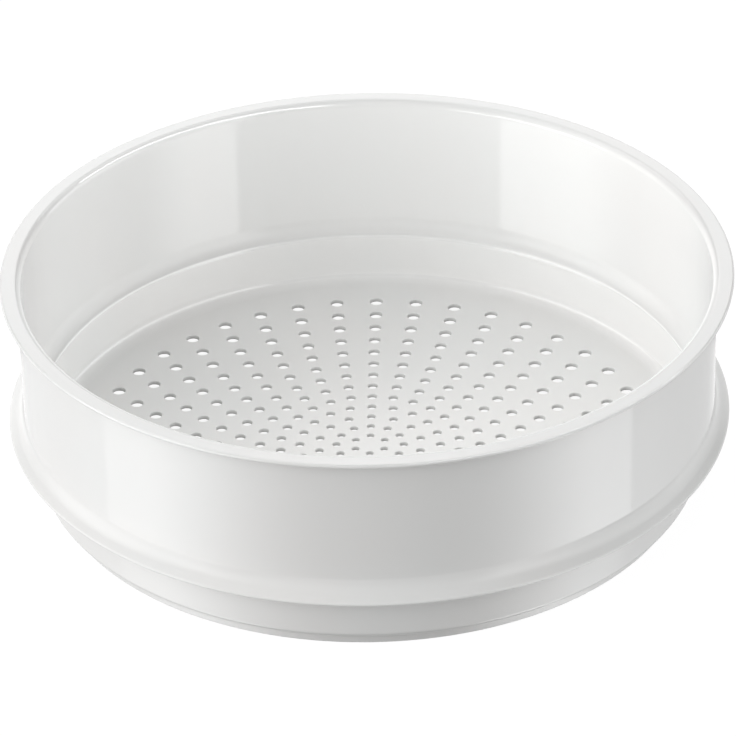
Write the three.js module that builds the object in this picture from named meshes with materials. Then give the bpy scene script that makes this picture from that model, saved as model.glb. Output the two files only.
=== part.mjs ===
// One tier of a stacking stovetop steamer: rim and wall, seat flange, bowl, perforated floor and foot.
// Millimetres, +Z up, origin on the tier's axis at the surface it stands on.
import * as THREE from 'three';

// Upper wall and its turned-out rim
const BORE_D = 240;          // inside of the wall, the size that pots and tiers are matched by
const HEIGHT = 80;           // standing surface to the top of the rim
const WALL = 1.5;            // sheet of the wall and the rim
const RIM_REACH = 5.8;       // rim past the outside of the wall
const RIM_BEND = 2.5;        // bend between the inside of the wall and the rim's top

// Seat flange
const SEAT_HEIGHT = 24;      // standing surface to the flat underside
const SEAT_PLATE = 1.8;      // underside to the shoulder's lower edge inside the tier
const SEAT_REACH = 5.3;      // flange past the outside of the wall
const SEAT_FALL = 30;        // fall of the flange's top below level, in degrees
const SEAT_EDGE = 0.75;      // round of the flange's outer edge
const FLARE_R = 6;           // hollow between the wall and the flange's top
const SHOULDER_FALL = 30;    // fall of the shoulder below level, towards the bowl, in degrees
const SHOULDER_HOLLOW = 2;   // hollow between the wall's inside and the shoulder
const SHOULDER_ROUND = 0.8;  // round where the shoulder turns down into the bowl
const SOCKET = 0.4;          // depth that the bowl's edge is let into the flange's underside
const SOCKET_GAP = 0.3;      // side of that rebate to the bowl

// Bowl
const NEST_GAP = 3;          // bowl to the inside of a pot or tier of the same bore
const BOWL_WALL = 1;         // sheet of the bowl
const BOWL_ROUND = 2.5;      // outside of the bottom corner
const LEDGE = 1;             // thickness of the ledge under the floor
const LEDGE_WIDTH = 4;       // strip of the ledge that the floor lies on
const COVE = 4.5;            // hollow between the bowl's inside and the floor
const COVE_LAND = 0.5;       // level strip between the cove and the floor

// Perforated floor
const FLOOR = 1.5;           // thickness of the plate
const FLOOR_GAP = 0.3;       // plate to the rebate that it lies in
const HOLE_COUNTS = [6, 12, 14, 20, 26, 28, 30, 32, 34, 36, 38, 40, 42];
const HOLE_MARGIN = 8.3;     // centres of the outermost ring to the ledge
const RING_GROWTH = 1.0415;  // each ring's pitch over the one inside it
const HOLE_D_INNER = 2.8;
const HOLE_D_OUTER = 4.8;
const HOLE_TURN = -2;        // the row of aligned holes past +Y, in degrees

// Foot
const FOOT_HEIGHT = 4.5;
const FOOT_INSET = 4;        // foot's standing edge inside the outside of the bowl
const FOOT_WIDTH = 2.5;
const FOOT_SPREAD = 1;       // foot's top past its standing edge
const FOOT_ROUND = 0.8;

// Facets
const TURN_STEPS = 60;
const ARC_STEPS = 4;
const HOLE_SIDES = 6;

const boreR = BORE_D / 2;
const wallR = boreR + WALL;
const bowlR = boreR - NEST_GAP;
const bowlBoreR = bowlR - BOWL_WALL;
const bowlTop = SEAT_HEIGHT + SOCKET;
const ledgeTop = FOOT_HEIGHT + LEDGE;
const floorTop = ledgeTop + FLOOR;
const coveR = bowlBoreR - COVE;
const rebateR = coveR - COVE_LAND;
const ledgeR = rebateR - LEDGE_WIDTH;

// The flange's top runs from its round edge, at a steady fall, into the hollow under the wall.
const fall = THREE.MathUtils.degToRad(SEAT_FALL);
const seatEdgeR = wallR + SEAT_REACH - SEAT_EDGE;
const slopeOuterR = seatEdgeR + SEAT_EDGE * Math.sin(fall);
const slopeInnerR = wallR + FLARE_R * (1 - Math.sin(fall));
const slopeOuterZ = SEAT_HEIGHT + SEAT_EDGE * (1 + Math.cos(fall));
const slopeInnerZ = slopeOuterZ + (slopeOuterR - slopeInnerR) * Math.tan(fall);
const flareTop = slopeInnerZ + FLARE_R * Math.cos(fall);

// Inside the tier the shoulder runs, at its own steady fall, from a hollow under the wall to a round above the bowl.
const lean = THREE.MathUtils.degToRad(SHOULDER_FALL);
const shoulderEdgeZ = SEAT_HEIGHT + SEAT_PLATE - SHOULDER_ROUND;
const shoulderOuterR = boreR - SHOULDER_HOLLOW * (1 - Math.sin(lean));
const shoulderInnerR = bowlBoreR + SHOULDER_ROUND * (1 - Math.sin(lean));
const shoulderInnerZ = shoulderEdgeZ + SHOULDER_ROUND * Math.cos(lean);
const shoulderOuterZ = shoulderInnerZ + (shoulderOuterR - shoulderInnerR) * Math.tan(lean);
const hollowZ = shoulderOuterZ + SHOULDER_HOLLOW * Math.cos(lean);

function point(r, z) {
  return new THREE.Vector2(r, z);
}

// Points on an arc about (r, z), from one angle to another in degrees, both ends included.
function arc(r, z, radius, from, to) {
  return Array.from({ length: ARC_STEPS + 1 }, (_, step) => {
    const angle = THREE.MathUtils.degToRad(from + ((to - from) * step) / ARC_STEPS);
    return point(r + radius * Math.cos(angle), z + radius * Math.sin(angle));
  });
}

// A ring about +Z from its section, listed anticlockwise with the radius to the right and height up.
function ring(section) {
  const closed = [...section, section[0]];
  return new THREE.LatheGeometry(closed, TURN_STEPS).rotateX(Math.PI / 2);
}

function upperWall() {
  const bendR = boreR + RIM_BEND;
  const bendZ = HEIGHT - RIM_BEND;
  const edge = WALL / 2;
  return ring([
    point(boreR, flareTop),
    point(wallR, flareTop),
    ...arc(bendR, bendZ, RIM_BEND - WALL, 180, 90),
    ...arc(wallR + RIM_REACH - edge, HEIGHT - edge, edge, -90, 90),
    ...arc(bendR, bendZ, RIM_BEND, 90, 180),
  ]);
}

function seatFlange() {
  return ring([
    point(bowlBoreR, bowlTop),
    point(bowlR + SOCKET_GAP, bowlTop),
    point(bowlR + SOCKET_GAP, SEAT_HEIGHT),
    ...arc(seatEdgeR, SEAT_HEIGHT + SEAT_EDGE, SEAT_EDGE, -90, 90 - SEAT_FALL),
    ...arc(wallR + FLARE_R, flareTop, FLARE_R, 270 - SEAT_FALL, 180),
    point(boreR, flareTop),
    ...arc(boreR - SHOULDER_HOLLOW, hollowZ, SHOULDER_HOLLOW, 0, SHOULDER_FALL - 90),
    ...arc(bowlBoreR + SHOULDER_ROUND, shoulderEdgeZ, SHOULDER_ROUND, 90 + SHOULDER_FALL, 180),
  ]);
}

function bowlWall() {
  return ring([
    point(ledgeR, FOOT_HEIGHT),
    ...arc(bowlR - BOWL_ROUND, FOOT_HEIGHT + BOWL_ROUND, BOWL_ROUND, -90, 0),
    point(bowlR, bowlTop),
    point(bowlBoreR, bowlTop),
    ...arc(coveR, floorTop + COVE, COVE, 0, -90),
    point(rebateR, floorTop),
    point(rebateR, ledgeTop),
    point(ledgeR, ledgeTop),
  ]);
}

function footRing() {
  const footR = bowlR - FOOT_INSET;
  return ring([
    point(footR - FOOT_WIDTH, 0),
    ...arc(footR - FOOT_ROUND, FOOT_ROUND, FOOT_ROUND, -90, 0),
    point(footR + FOOT_SPREAD, FOOT_HEIGHT),
    point(footR - FOOT_WIDTH, FOOT_HEIGHT),
  ]);
}

function polygon(x, y, radius, sides, turn) {
  return Array.from({ length: sides }, (_, side) => {
    const angle = turn + (side / sides) * 2 * Math.PI;
    return point(x + radius * Math.cos(angle), y + radius * Math.sin(angle));
  });
}

// Rings of holes: the pitch between rings grows outwards by one ratio, and so do the holes, evenly.
// Every ring has one hole on the same line from the centre.
function perforatedFloor() {
  const plate = new THREE.Shape(polygon(0, 0, rebateR - FLOOR_GAP, TURN_STEPS, 0));
  const rings = HOLE_COUNTS.length;
  const outermostR = ledgeR - HOLE_MARGIN;
  const firstAngle = Math.PI / 2 + THREE.MathUtils.degToRad(HOLE_TURN);
  HOLE_COUNTS.forEach((count, index) => {
    const ringR = (outermostR * (RING_GROWTH ** (index + 1) - 1)) / (RING_GROWTH ** rings - 1);
    const holeR = THREE.MathUtils.lerp(HOLE_D_INNER, HOLE_D_OUTER, index / (rings - 1)) / 2;
    for (let hole = 0; hole < count; hole += 1) {
      const angle = firstAngle + (hole / count) * 2 * Math.PI;
      const turn = angle + Math.PI / HOLE_SIDES;
      const outline = polygon(ringR * Math.cos(angle), ringR * Math.sin(angle), holeR, HOLE_SIDES, turn);
      plate.holes.push(new THREE.Path(outline));
    }
  });
  const solid = new THREE.ExtrudeGeometry(plate, { depth: FLOOR, bevelEnabled: false });
  return solid.translate(0, 0, ledgeTop);
}

function piece(name, geometry) {
  const enamel = new THREE.MeshStandardMaterial({ color: 0xf1f1ef, roughness: 0.12, metalness: 0 });
  const mesh = new THREE.Mesh(geometry, enamel);
  mesh.name = name;
  return mesh;
}

const tier = new THREE.Group();
tier.add(
  piece('upper_wall', upperWall()),
  piece('seat_flange', seatFlange()),
  piece('bowl_wall', bowlWall()),
  piece('perforated_floor', perforatedFloor()),
  piece('foot_ring', footRing()),
);

export default tier;
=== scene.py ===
# Steamer tier in glossy white enamel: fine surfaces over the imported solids, finishes, studio and camera.
import math
import bpy
import numpy as np
from mathutils import Matrix, Vector
from mathutils.geometry import delaunay_2d_cdt


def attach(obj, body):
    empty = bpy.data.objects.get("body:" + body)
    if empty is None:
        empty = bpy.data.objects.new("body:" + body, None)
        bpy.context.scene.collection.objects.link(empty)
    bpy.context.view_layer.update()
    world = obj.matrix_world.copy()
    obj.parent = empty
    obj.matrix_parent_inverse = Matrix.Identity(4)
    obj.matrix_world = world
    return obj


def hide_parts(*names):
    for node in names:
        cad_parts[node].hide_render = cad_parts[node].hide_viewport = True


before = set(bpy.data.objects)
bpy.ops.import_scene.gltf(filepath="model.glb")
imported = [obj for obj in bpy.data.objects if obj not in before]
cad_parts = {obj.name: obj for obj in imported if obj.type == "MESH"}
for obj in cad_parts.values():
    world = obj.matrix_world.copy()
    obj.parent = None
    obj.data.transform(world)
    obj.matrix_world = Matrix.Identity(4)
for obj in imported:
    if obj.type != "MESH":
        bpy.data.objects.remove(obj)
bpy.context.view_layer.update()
scene = bpy.context.scene
scene.view_settings.view_transform = "Standard"
mm = 0.001  # sections are written in millimetres
fullTurn = 2.0 * math.pi
white = (1.0, 1.0, 1.0, 1.0)
print("frame:", ", ".join(sorted(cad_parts)))


# Camera at the photograph's angle: right of it is +X, it looks along +Y and down.
viewpoint = {
    "place": (0.0, -1.4099, 0.9085),
    "pitch": 31.67,   # degrees below level
    "roll": -1.16,
    "yaw": 0.0085,
    "lens": 230.48,
    "sensor": 36.0,
}


def placeCamera(v):
    data = bpy.data.cameras.new("camera")
    data.lens = v["lens"]
    data.sensor_width = v["sensor"]
    camera = bpy.data.objects.new("camera", data)
    turn = (Matrix.Rotation(math.radians(v["yaw"]), 4, "Z")
            @ Matrix.Rotation(math.radians(90.0 - v["pitch"]), 4, "X")
            @ Matrix.Rotation(math.radians(v["roll"]), 4, "Z"))
    camera.matrix_world = Matrix.Translation(v["place"]) @ turn
    scene.collection.objects.link(camera)
    scene.camera = camera


placeCamera(viewpoint)
print("camera set")

# How finely the pieces are cut up, and the angle in degrees past which an edge stays sharp.
facets = {"turns": 480, "arc": 16, "wideArc": 24, "sharp": 40.0}


# Arc about (r, z): centre + radius * (cos a, sin a). The angle a eases from start to end by
# 6t^5 - 15t^4 + 10t^3, so its steps are finest where the arc meets the runs beside it.
def arc(r, z, radius, start, end, steps=facets["arc"]):
    t = np.linspace(0.0, 1.0, steps + 1)
    ease = t ** 3 * (t * (6.0 * t - 15.0) + 10.0)
    a = np.radians(start + (end - start) * ease)
    return np.column_stack([r + radius * np.cos(a), z + radius * np.sin(a)])


# Circle about the axis: (cos u, sin u) at even steps of u.
def circle(steps):
    u = np.arange(steps) * (fullTurn / steps)
    return np.column_stack([np.cos(u), np.sin(u)])


# Mesh from points in millimetres and faces. The first flatFaces of them are level and keep flat shading.
def addPiece(name, points, faces, node, flatFaces=0, sharp=facets["sharp"]):
    mesh = bpy.data.meshes.new(name)
    mesh.from_pydata((np.asarray(points) * mm).tolist(), [], [list(f) for f in faces])
    mesh.shade_smooth()
    mesh.set_sharp_from_angle(angle=math.radians(sharp))
    if flatFaces:
        flags = np.ones(len(mesh.polygons), dtype=bool)
        flags[:flatFaces] = False
        mesh.polygons.foreach_set("use_smooth", flags)
    mesh.update()
    piece = bpy.data.objects.new(name, mesh)
    scene.collection.objects.link(piece)
    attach(piece, "root")
    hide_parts(node)
    print(name, len(mesh.polygons), "faces")
    return piece


# Closed section, anticlockwise, carried round the axis: (r, z) at turn u goes to (r cos u, r sin u, z).
def turned(section):
    turns, count = facets["turns"], len(section)
    way = circle(turns)
    r, z = section[:, 0], section[:, 1]
    points = np.stack([np.outer(way[:, 0], r), np.outer(way[:, 1], r), np.tile(z, (turns, 1))], axis=-1)
    i, j = np.meshgrid(np.arange(turns), np.arange(count), indexing="ij")
    nextI, nextJ = (i + 1) % turns, (j + 1) % count
    quads = np.stack([i * count + j, nextI * count + j, nextI * count + nextJ, i * count + nextJ], axis=-1)
    return points.reshape(-1, 3), quads.reshape(-1, 4)


# Upper wall: straight sheet, bent out at the top into a level rim with a round edge.
upperWall = {
    "boreR": 120.0,
    "sheet": 1.5,
    "height": 80.0,
    "rimReach": 5.8,   # past the outside of the wall
    "rimBend": 2.5,
    "foot": 31.7085,   # where the flange's flare ends
}


def upperWallSection(w):
    outer = w["boreR"] + w["sheet"]
    bendR, bendZ = w["boreR"] + w["rimBend"], w["height"] - w["rimBend"]
    edge = w["sheet"] / 2
    return np.vstack([
        [(w["boreR"], w["foot"]), (outer, w["foot"])],
        arc(bendR, bendZ, w["rimBend"] - w["sheet"], 180, 90),
        arc(outer + w["rimReach"] - edge, w["height"] - edge, edge, -90, 90, facets["wideArc"]),
        arc(bendR, bendZ, w["rimBend"], 90, 180, facets["wideArc"]),
    ])


wallPiece = addPiece("upper_wall_enamel", *turned(upperWallSection(upperWall)), "upper_wall")


# Seat flange: flat underside, round outer edge, sloping top that flares up into the wall, shoulder inside.
seatFlange = {
    "underside": 24.0,
    "plate": 1.8,           # underside to the shoulder's edge
    "reach": 5.3,           # past the outside of the wall
    "fall": 30.0,           # of the top outside, in degrees below level
    "edge": 0.75,
    "flare": 6.0,
    "shoulderFall": 28.0,   # where the hollow under the wall meets the shoulder's round
    "shoulder": 0.8,        # that round
    "socket": 0.4,          # rebate that the bowl's edge is let into
    "socketR": 117.3,
    "boreR": 116.0,
}


# The shoulder's hollow touches the wall's inside and the round below it, so their two radii together are
# the step between the bores over (1 - sin fall).
def seatFlangeSection(s, w):
    wallR = w["boreR"] + w["sheet"]
    edgeR = wallR + s["reach"] - s["edge"]
    lean = math.radians(s["shoulderFall"])
    edgeZ = s["underside"] + s["plate"] - s["shoulder"]
    both = (w["boreR"] - s["boreR"]) / (1.0 - math.sin(lean))
    hollow, hollowZ = both - s["shoulder"], edgeZ + both * math.cos(lean)
    socketTop = s["underside"] + s["socket"]
    return np.vstack([
        [(s["boreR"], socketTop), (s["socketR"], socketTop), (s["socketR"], s["underside"])],
        arc(edgeR, s["underside"] + s["edge"], s["edge"], -90, 90 - s["fall"]),
        arc(wallR + s["flare"], w["foot"], s["flare"], 270 - s["fall"], 180, facets["wideArc"]),
        [(w["boreR"], w["foot"])],
        arc(w["boreR"] - hollow, hollowZ, hollow, 0, s["shoulderFall"] - 90, facets["wideArc"]),
        arc(s["boreR"] + s["shoulder"], edgeZ, s["shoulder"], 90 + s["shoulderFall"], 180),
    ])


flangePiece = addPiece("seat_flange_enamel", *turned(seatFlangeSection(seatFlange, upperWall)), "seat_flange")


# Bowl: narrower wall with a round bottom corner, a cove inside and the ledge that carries the floor.
bowl = {
    "outerR": 117.0,
    "sheet": 1.0,
    "corner": 2.5,
    "bottom": 4.5,
    "ledgeTop": 5.5,
    "ledgeR": 107.0,
    "rebateR": 111.0,
    "floorTop": 7.0,
    "cove": 4.5,
}


def bowlSection(b, s):
    top = s["underside"] + s["socket"]
    innerR = b["outerR"] - b["sheet"]
    return np.vstack([
        [(b["ledgeR"], b["bottom"])],
        arc(b["outerR"] - b["corner"], b["bottom"] + b["corner"], b["corner"], -90, 0),
        [(b["outerR"], top), (innerR, top)],
        arc(innerR - b["cove"], b["floorTop"] + b["cove"], b["cove"], 0, -90, facets["wideArc"]),
        [(b["rebateR"], b["floorTop"]), (b["rebateR"], b["ledgeTop"]), (b["ledgeR"], b["ledgeTop"])],
    ])


bowlPiece = addPiece("bowl_wall_enamel", *turned(bowlSection(bowl, seatFlange)), "bowl_wall")


# Foot: low ring, spreading a little towards the bowl, with a round standing edge.
foot = {
    "outerR": 113.0,
    "innerR": 110.5,
    "height": 4.5,
    "spread": 1.0,
    "round": 0.8,
}


def footSection(f):
    return np.vstack([
        [(f["innerR"], 0.0)],
        arc(f["outerR"] - f["round"], f["round"], f["round"], -90, 0),
        [(f["outerR"] + f["spread"], f["height"]), (f["innerR"], f["height"])],
    ])


footPiece = addPiece("foot_ring_enamel", *turned(footSection(foot)), "foot_ring")


# Perforated floor: rings of round holes. Ring k of n has radius R (q^k - 1) / (q^n - 1), holes grow evenly.
perforatedFloor = {
    "outerR": 110.97,
    "bottom": 5.5,
    "top": 7.0,
    "counts": (6, 12, 14, 20, 26, 28, 30, 32, 34, 36, 38, 40, 42),
    "outermostR": 98.7,
    "growth": 1.0415,
    "holeInner": 2.8,
    "holeOuter": 4.8,
    "firstAngle": 88.0,
    "lip": 0.22,        # round of the holes' upper edge
    "lipSteps": 2,
    "paintedShadeRows": (0.0, 0.05, 0.2, 1.0),   # painted shade down the holes' walls, from the lip's top to the underside
    "sides": 20,
    "sharp": 50.0,
    "weld": 1e-6,
}


def holeCentres(f):
    counts = np.array(f["counts"])
    k = np.repeat(np.arange(len(counts)), counts)
    nth = np.arange(counts.sum()) - np.repeat(np.cumsum(counts) - counts, counts)
    ringR = f["outermostR"] * (f["growth"] ** (k + 1) - 1) / (f["growth"] ** len(counts) - 1)
    angle = np.radians(f["firstAngle"]) + nth / counts[k] * fullTurn
    radius = (f["holeInner"] + (f["holeOuter"] - f["holeInner"]) * k / (len(counts) - 1)) / 2
    return np.column_stack([ringR * np.cos(angle), ringR * np.sin(angle)]), radius


# Level face between the plate's edge, the first loop, and the holes' loops, triangulated with the loops as
# constraints. A triangle with all its corners on one hole lies in that hole and is left out.
def levelFace(loops, upward, weld):
    flat = np.vstack(loops)
    sizes = np.array([len(loop) for loop in loops])
    owner = np.repeat(np.arange(len(loops)), sizes)
    firsts = np.repeat(np.cumsum(sizes) - sizes, sizes)
    own = np.arange(len(flat))
    following = firsts + (own - firsts + 1) % np.repeat(sizes, sizes)
    runs = np.column_stack([own, following])
    withinLoops = 1   # output type of delaunay_2d_cdt: triangles inside the constraints
    made = delaunay_2d_cdt(flat.tolist(), runs.tolist(), [], withinLoops, weld, True)
    faces, sources = made[2:4]
    source = np.array([origin[0] for origin in sources])
    triangles = source[np.array(faces)]
    corners = owner[triangles]
    inHole = (corners[:, 0] > 0) & (corners == corners[:, :1]).all(axis=1)
    triangles = triangles[~inHole]
    a, b, c = flat[triangles[:, 0]], flat[triangles[:, 1]], flat[triangles[:, 2]]
    area = (b - a)[:, 0] * (c - a)[:, 1] - (b - a)[:, 1] * (c - a)[:, 0]
    wrong = (area > 0) != upward
    triangles[wrong] = triangles[wrong][:, ::-1]
    return triangles


# Each hole is a profile carried round its centre: centre + radius(row) * (cos v, sin v) at height(row).
def buildFloor(f):
    centres, radius = holeCentres(f)
    lip = arc(f["lip"], -f["lip"], f["lip"], 90, 180, f["lipSteps"])
    rows = np.vstack([lip + (0.0, f["top"]), [(0.0, f["bottom"])]])
    rowR = radius[:, None] + rows[None, :, 0]
    xy = centres[:, None, None] + rowR[:, :, None, None] * circle(f["sides"])
    z = np.broadcast_to(rows[None, :, None, 1], xy.shape[:3])
    collars = np.concatenate([xy, z[..., None]], axis=-1)
    rim = f["outerR"] * circle(facets["turns"])
    rimTop = np.column_stack([rim, np.full(len(rim), f["top"])])
    rimBottom = np.column_stack([rim, np.full(len(rim), f["bottom"])])
    points = np.vstack([rimTop, rimBottom, collars.reshape(-1, 3)])

    holes, depth, sides = collars.shape[:3]
    index = 2 * len(rim) + np.arange(holes * depth * sides).reshape(holes, depth, sides)
    around = np.roll(index, -1, axis=2)
    walls = np.stack([index[:, :-1], around[:, :-1], around[:, 1:], index[:, 1:]], axis=-1).reshape(-1, 4)
    edge = np.arange(len(rim))
    nextEdge = np.roll(edge, -1)
    top = np.concatenate([edge, index[:, 0].ravel()])
    bottom = np.concatenate([len(rim) + edge, index[:, -1].ravel()])
    upper = top[levelFace([rim, *collars[:, 0, :, :2]], True, f["weld"])]
    lower = bottom[levelFace([rim, *collars[:, -1, :, :2]], False, f["weld"])]
    side = np.column_stack([edge, edge + len(rim), nextEdge + len(rim), nextEdge])
    level = len(upper) + len(lower)
    # share of painted shade at each corner: none on the level faces, growing down the holes where shade falls
    share = np.array(f["paintedShadeRows"])
    corners = np.column_stack([share[:-1], share[:-1], share[1:], share[1:]])
    down = np.broadcast_to(corners[None, :, None, :], (holes, depth - 1, sides, 4))
    paintedHoleShade = np.concatenate([np.zeros(3 * level), down.ravel(), np.zeros(4 * len(side))])
    return points, [*upper.tolist(), *lower.tolist(), *walls.tolist(), *side.tolist()], level, paintedHoleShade


floorPoints, floorFaces, levelCount, paintedShadeShare = buildFloor(perforatedFloor)
floorPiece = addPiece("perforated_floor_enamel", floorPoints, floorFaces, "perforated_floor", levelCount,
                      perforatedFloor["sharp"])
# the floor's corners carry the share of painted shade down the holes' walls
floorPiece.data.attributes.new("paintedHoleShade", "FLOAT", "CORNER").data.foreach_set("value", paintedShadeShare)


# One socket of a node tree. Arithmetic on values adds Math nodes, node() adds any other node: its type, its
# settings, the output to go on from, then its inputs by name, with _ for a space, or by number as i0, i1, i2.
class Socket:
    def __init__(self, tree, socket=None):
        self.tree = tree
        self.socket = socket

    def node(self, kind, settings=None, out=0, **values):
        made = self.tree.nodes.new(kind)
        for key, value in (settings or {}).items():
            setattr(made, key, value)
        for key, value in values.items():
            slot = made.inputs[int(key[1:]) if key[1:].isdigit() else key.replace("_", " ")]
            if isinstance(value, Socket):
                self.tree.links.new(value.socket, slot)
            else:
                slot.default_value = value
        return Socket(self.tree, made.outputs[out] if len(made.outputs) else None)

    # another output of the same node
    def beside(self, out):
        return Socket(self.tree, self.socket.node.outputs[out])

    def maths(self, operation, *terms):
        return self.node("ShaderNodeMath", {"operation": operation},
                         **{"i%d" % i: term for i, term in enumerate(terms)})

    def __add__(self, other):
        return self.maths("ADD", self, other)

    def __sub__(self, other):
        return self.maths("SUBTRACT", self, other)

    def __rsub__(self, other):
        return self.maths("SUBTRACT", other, self)

    def __mul__(self, other):
        return self.maths("MULTIPLY", self, other)

    __radd__ = __add__
    __rmul__ = __mul__

    # smooth step: 0 at none and 1 at full, whichever of them is the higher
    def ramp(self, none, full):
        low, high = min(none, full), max(none, full)
        atLow, atHigh = (0.0, 1.0) if none < full else (1.0, 0.0)
        return self.node("ShaderNodeMapRange", {"interpolation_type": "SMOOTHSTEP"}, Value=self,
                         i1=low, i2=high, i3=atLow, i4=atHigh)

    # 0 up to start, 1 from full to last, 0 again from end
    def between(self, start, full, last, end):
        return self.ramp(start, full) * self.ramp(end, last)

    # colour below where this value is 0, above where it is 1
    def blend(self, below, above):
        return self.node("ShaderNodeMix", {"data_type": "RGBA"}, 2, i0=self, i6=below, i7=above)


def newMaterial(name):
    material = bpy.data.materials.new(name)
    material.use_nodes = True
    material.node_tree.nodes.clear()
    return material, Socket(material.node_tree)


# Enamel: two close whites in broad drifts, a grey painted shade down the holes' walls, a finer mottle in the
# gloss, and a slight waviness of the glaze.
enamel = {
    "warm": (0.875, 0.870, 0.858, 1.0),
    "cool": (0.868, 0.872, 0.862, 1.0),
    "paintedHoleShade": (0.70, 0.70, 0.69, 1.0),   # painted shade on the holes' walls
    "drift": {"Scale": 14.0, "Detail": 2.0},   # scale in clouds to a metre
    "driftEnds": (0.35, 0.65),
    "mottle": {"Scale": 160.0, "Detail": 3.0},
    "mottleEnds": (0.3, 0.7),
    "wave": {"Scale": 420.0, "Detail": 1.0},
    "waveHeight": 0.000002,
    "ior": 1.55,
    "coatIor": 2.0,
    "coatRough": 0.06,
    "turn": 0.2,   # half the width, in mm, over which inside turns to outside
}
# Finish of each piece: roughness from its smoothest to its dullest patches, inside and outside of edgeR.
# A polished band lies between its four heights in mm. Over the heights in blend the inside turns smooth.
finishes = {
    "enamel_wall": {"inside": (0.06, 0.10), "outside": (0.06, 0.10), "edgeR": 121.0, "shine": 0.5},
    "enamel_flange": {"inside": (0.22, 0.26), "outside": (0.16, 0.20), "edgeR": 120.7, "shine": 0.5,
                      "polished": (24.0, 24.4, 25.8, 26.1), "polish": 0.08, "coat": 0.3,
                      "blend": (27.0, 32.5), "smooth": 0.08},
    "enamel_bowl": {"inside": (0.45, 0.55), "outside": (0.12, 0.18), "edgeR": 116.5, "shine": 0.5,
                    "polished": (8.3, 8.7, 9.1, 9.5), "polish": 0.14, "coat": 0.35},
    # the floor's hole walls take the grey painted shade
    "enamel_floor": {"inside": (0.45, 0.55), "outside": (0.45, 0.55), "edgeR": 112.0, "shine": 0.1,
                     "collars": "paintedHoleShade"},
    "enamel_foot": {"inside": (0.25, 0.35), "outside": (0.14, 0.20), "edgeR": 112.0, "shine": 0.5},
}


def enamelMaterial(name, look, f):
    material, n = newMaterial(name)
    place = n.node("ShaderNodeTexCoord", None, "Object")
    x = n.node("ShaderNodeSeparateXYZ", None, "X", Vector=place)
    y, z = x.beside("Y"), x.beside("Z")
    turnIn, turnOut = (f["edgeR"] - look["turn"]) * mm, (f["edgeR"] + look["turn"]) * mm
    outside = n.maths("SQRT", x * x + y * y).ramp(turnIn, turnOut)
    drift = n.node("ShaderNodeTexNoise", Vector=place, **look["drift"]).ramp(*look["driftEnds"])
    mottle = n.node("ShaderNodeTexNoise", Vector=place, **look["mottle"]).ramp(*look["mottleEnds"])
    wave = n.node("ShaderNodeTexNoise", Vector=place, **look["wave"])
    colour = drift.blend(look["warm"], look["cool"])
    if "collars" in f:   # attribute with the share of painted shade down the holes
        paintedHoleShade = n.node("ShaderNodeAttribute", {"attribute_name": f["collars"]}, "Fac")
        colour = paintedHoleShade.blend(colour, look["paintedHoleShade"])

    def patchy(smoothest, dullest):
        return smoothest + (dullest - smoothest) * mottle

    inner, outer, coat = patchy(*f["inside"]), patchy(*f["outside"]), {}
    if "blend" in f:
        inner = inner + z.ramp(*(mm * level for level in f["blend"])) * (f["smooth"] - inner)
    if "polished" in f:
        band = z.between(*(mm * level for level in f["polished"]))
        inner = inner + band * (f["polish"] - inner)
        coat = {"Coat_Weight": band * (1.0 - outside) * f["coat"], "Coat_IOR": look["coatIor"],
                "Coat_Roughness": look["coatRough"]}
    rough = inner + outside * (outer - inner)
    bump = n.node("ShaderNodeBump", Strength=1.0, Distance=look["waveHeight"], Height=wave)
    shader = n.node("ShaderNodeBsdfPrincipled", Base_Color=colour, Roughness=rough, Normal=bump,
                    IOR=look["ior"], Specular_IOR_Level=f["shine"], **coat)
    n.node("ShaderNodeOutputMaterial", Surface=shader)
    return material


dressing = {"enamel_wall": wallPiece, "enamel_flange": flangePiece, "enamel_bowl": bowlPiece,
            "enamel_floor": floorPiece, "enamel_foot": footPiece}
for finishName, piece in dressing.items():
    piece.data.materials.append(enamelMaterial(finishName, enamel, finishes[finishName]))
    piece.visible_glossy = False   # the gloss shows the studio only
print("enamel on every piece")


# Ground: white to the camera, with a share of it lit so that the shadow stays; grey card for bounced light.
ground = {"size": 3.0, "glow": 0.96, "lit": (0.11, 0.11, 0.11, 1.0), "card": (0.35, 0.35, 0.35, 1.0)}


def addGround(g):
    mesh = bpy.data.meshes.new("ground")
    s = g["size"]
    mesh.from_pydata([(-s, -s, 0), (s, -s, 0), (s, s, 0), (-s, s, 0)], [], [(0, 1, 2, 3)])
    plane = bpy.data.objects.new("ground", mesh)
    scene.collection.objects.link(plane)
    material, n = newMaterial("ground_white")
    seen = n.node("ShaderNodeLightPath", None, "Is Camera Ray")
    glow = n.node("ShaderNodeEmission", Color=white, Strength=g["glow"])
    lit = n.node("ShaderNodeBsdfDiffuse", Color=g["lit"])
    both = n.node("ShaderNodeAddShader", i0=glow, i1=lit)
    card = n.node("ShaderNodeBsdfDiffuse", Color=g["card"])
    n.node("ShaderNodeOutputMaterial", Surface=n.node("ShaderNodeMixShader", i0=seen, i1=card, i2=both))
    mesh.materials.append(material)
    plane.visible_glossy = False


addGround(ground)
print("ground set")

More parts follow.
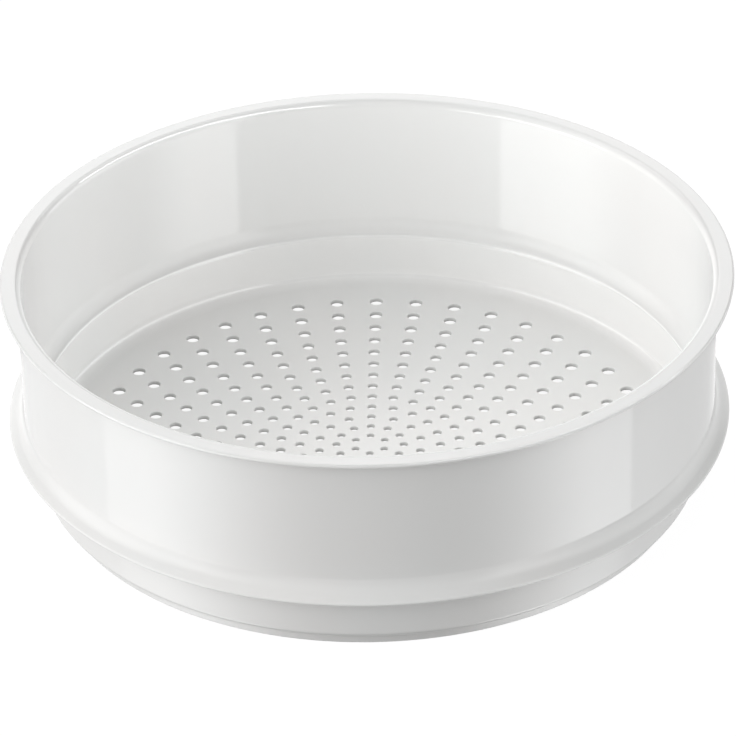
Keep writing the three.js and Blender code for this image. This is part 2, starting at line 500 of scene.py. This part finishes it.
# Lamps aim at the tier's middle, two small panels over the floor aim straight down, and the fill is a soft
# globe in the tier's mouth. None of them shows in the gloss.
tierMiddle = (0.0, 0.0, 0.04)
lamps = {
    "left": {"place": (-1.22, 0.0, 0.48), "aim": tierMiddle, "size": 0.9, "power": 4.3},
    "frontLeft": {"place": (-0.86, -0.86, 0.48), "aim": tierMiddle, "size": 0.9, "power": 4.1},
    "right": {"place": (1.22, 0.0, 0.48), "aim": tierMiddle, "size": 0.9, "power": 1.66},
    "front": {"place": (0.0, -1.22, 0.48), "aim": tierMiddle, "size": 0.9, "power": 1.0},
    "fill": {"place": (0.005, -0.025, 0.082), "radius": 0.05, "power": 0.066},
    "floorLeft": {"place": (-0.05, -0.03, 0.065), "aim": (-0.05, -0.03, 0.0), "size": 0.09, "power": 0.008},
    "floorRight": {"place": (0.06, 0.0, 0.06), "aim": (0.06, 0.0, 0.0), "size": 0.08, "power": 0.0052},
}


def addLamp(name, lamp):
    globe = "radius" in lamp
    data = bpy.data.lights.new(name, "POINT" if globe else "AREA")
    data.energy = lamp["power"]
    light = bpy.data.objects.new(name, data)
    light.location = lamp["place"]
    if globe:
        data.shadow_soft_size = lamp["radius"]
    else:
        data.shape = "SQUARE"
        data.size = lamp["size"]
        facing = Vector(lamp["aim"]) - Vector(lamp["place"])
        light.rotation_euler = facing.to_track_quat("-Z", "Y").to_euler()
    light.visible_glossy = False
    light.visible_camera = False
    scene.collection.objects.link(light)


for lampName, lamp in lamps.items():
    addLamp(lampName, lamp)
print("lamps:", ", ".join(lamps))

# Strips and panels a metre away that show only in the gloss of the wall's rim, and light nothing else.
strips = {
    "stripRight": {"azimuth": 68.0, "height": 56.0, "length": 1.7, "width": 0.24, "level": 10.0},
    "stripLeft": {"azimuth": -58.0, "height": 8.0, "length": 1.1, "width": 0.24, "level": 6.5},
    "stripSide": {"azimuth": 105.0, "height": 16.0, "length": 0.8, "width": 0.3, "level": 2.0},
    "overLeft": {"azimuth": -120.0, "height": 58.0, "length": 0.9, "width": 0.5, "level": 0.9},
    "overRight": {"azimuth": 120.0, "height": 58.0, "length": 0.9, "width": 0.5, "level": 0.9},
    "overBack": {"azimuth": 180.0, "height": 49.0, "length": 0.7, "width": 0.36, "level": 1.8},
}


def addStrip(name, strip, shown):
    a, h = math.radians(strip["azimuth"]), math.radians(strip["height"])
    toward = Vector((math.sin(a) * math.cos(h), -math.cos(a) * math.cos(h), math.sin(h)))
    data = bpy.data.lights.new(name, "AREA")
    data.shape = "RECTANGLE"
    data.size, data.size_y = strip["length"], strip["width"]
    data.energy = strip["level"] * math.pi * strip["length"] * strip["width"]
    light = bpy.data.objects.new(name, data)
    light.matrix_world = (Matrix.Translation(toward + Vector(tierMiddle))
                          @ toward.to_track_quat("Z", "Y").to_matrix().to_4x4())
    light.visible_camera = False
    light.visible_diffuse = False
    light.light_linking.receiver_collection = shown
    scene.collection.objects.link(light)


rimOnly = bpy.data.collections.new("rim")
rimOnly.objects.link(wallPiece)
for stripName, strip in strips.items():
    addStrip(stripName, strip, rimOnly)
print("strips:", ", ".join(strips))

# World: white to the camera, even light on the object, and in its gloss a studio of softboxes. A softbox is
# start, full, last and end, in degrees from the camera's side with + to the right, and its level. What lies
# behind is the same on both sides: start, full and level. Heights are degrees above level.
studio = {
    "even": 0.60,
    "shade": (0.0, 45.0, 105.0, 150.0, 0.48),   # share of the even light kept off, high on the right
    "shadeHeights": (15.0, 45.0),
    "low": 0.45,
    "lowBoxes": ((-155.0, -85.0, -82.0, -12.0, 1.7), (22.0, 82.0, 85.0, 155.0, 2.9),
                 (-98.3, -96.7, -85.0, -25.0, 0.7), (35.0, 82.0, 95.0, 96.6, 1.05),
                 (-95.0, -72.0, -66.0, -15.0, 0.8), (15.0, 62.0, 72.0, 95.0, 0.7)),
    "lowBehind": (110.0, 150.0, 0.6),
    "beneath": 0.5,
    "beneathTop": (-75.0, -62.0),      # heights over which the low boxes begin
    "split": (-31.45, -31.25),         # heights over which the low boxes give way to the high ones
    "high": 0.88,
    "highDim": (135.0, 175.0, 0.2),    # share taken off behind
    "highBoxes": ((-80.0, -40.0, 35.0, 60.0, 0.45), (-160.0, -100.0, -80.0, -20.0, 0.46),
                  (20.0, 80.0, 100.0, 160.0, 1.0), (-105.0, -72.0, -48.3, -46.7, 1.7),
                  (43.6, 45.2, 58.0, 84.0, 1.75)),
    "highTop": (-27.0, -12.0),         # heights over which the high boxes give way to those above
    "above": 0.75,
    "aboveBoxes": ((-130.0, -95.0, -60.0, -40.0, 1.6), (32.0, 42.0, 105.0, 145.0, 2.0)),
    "aboveTop": (60.0, 30.0),          # heights over which the boxes above end, from the top down
    "back": (167.0, 171.0, 2.5),       # panel behind
    "backHeights": (23.5, 25.5, 28.5, 39.0),
    "wall": (120.0, 145.0, 0.9),       # lower and wider than the panel
    "wallHeights": (-25.0, -12.0, 16.0, 24.0),
    "corner": (-155.0, -135.0, -105.0, -85.0, 0.6),
    "cornerHeights": (45.0, 60.0, 76.0, 86.0),
}


def setWorld(w):
    world = bpy.data.worlds.new("studio")
    scene.world = world
    world.use_nodes = True
    world.cycles.sampling_method = "NONE"
    world.node_tree.nodes.clear()
    n = Socket(world.node_tree)
    x = n.node("ShaderNodeSeparateXYZ", None, "X", Vector=n.node("ShaderNodeTexCoord", None, "Generated"))
    azimuth = n.maths("DEGREES", n.maths("ARCTAN2", x, -1.0 * x.beside("Y")))
    height = n.maths("DEGREES", n.maths("ARCSINE", x.beside("Z")))
    away = n.maths("ABSOLUTE", azimuth)

    def box(start, full, last, end, level):
        return level * azimuth.between(start, full, last, end)

    def boxes(rows):
        return sum(box(*row) for row in rows)

    def behind(start, full, level):
        return level * away.ramp(start, full)

    low = w["low"] + boxes(w["lowBoxes"]) + behind(*w["lowBehind"])
    lower = w["beneath"] + height.ramp(*w["beneathTop"]) * (low - w["beneath"])
    high = (w["high"] + boxes(w["highBoxes"])) * (1.0 - behind(*w["highDim"]))
    sides = boxes(w["aboveBoxes"]) * height.ramp(*w["aboveTop"])
    back = behind(*w["back"]) * height.between(*w["backHeights"])
    wall = behind(*w["wall"]) * height.between(*w["wallHeights"])
    corner = box(*w["corner"]) * height.between(*w["cornerHeights"])
    above = w["above"] + sides + back + wall + corner
    upper = high + height.ramp(*w["highTop"]) * (above - high)
    gloss = lower + height.ramp(*w["split"]) * (upper - lower)
    shade = box(*w["shade"]) * height.ramp(*w["shadeHeights"])

    seen = n.node("ShaderNodeLightPath", None, "Is Camera Ray")
    firstBounce = n.maths("LESS_THAN", seen.beside("Diffuse Depth"), 0.5)   # no softboxes in bounced light
    plain = n.node("ShaderNodeBackground", Color=white, Strength=1.0)
    soft = n.node("ShaderNodeBackground", Color=white, Strength=w["even"] * (1.0 - shade))
    shine = n.node("ShaderNodeBackground", Color=white, Strength=gloss * firstBounce)
    unseen = n.node("ShaderNodeMixShader", i0=seen.beside("Is Glossy Ray"), i1=soft, i2=shine)
    n.node("ShaderNodeOutputWorld", Surface=n.node("ShaderNodeMixShader", i0=seen, i1=unseen, i2=plain))


setWorld(studio)
print("world set")
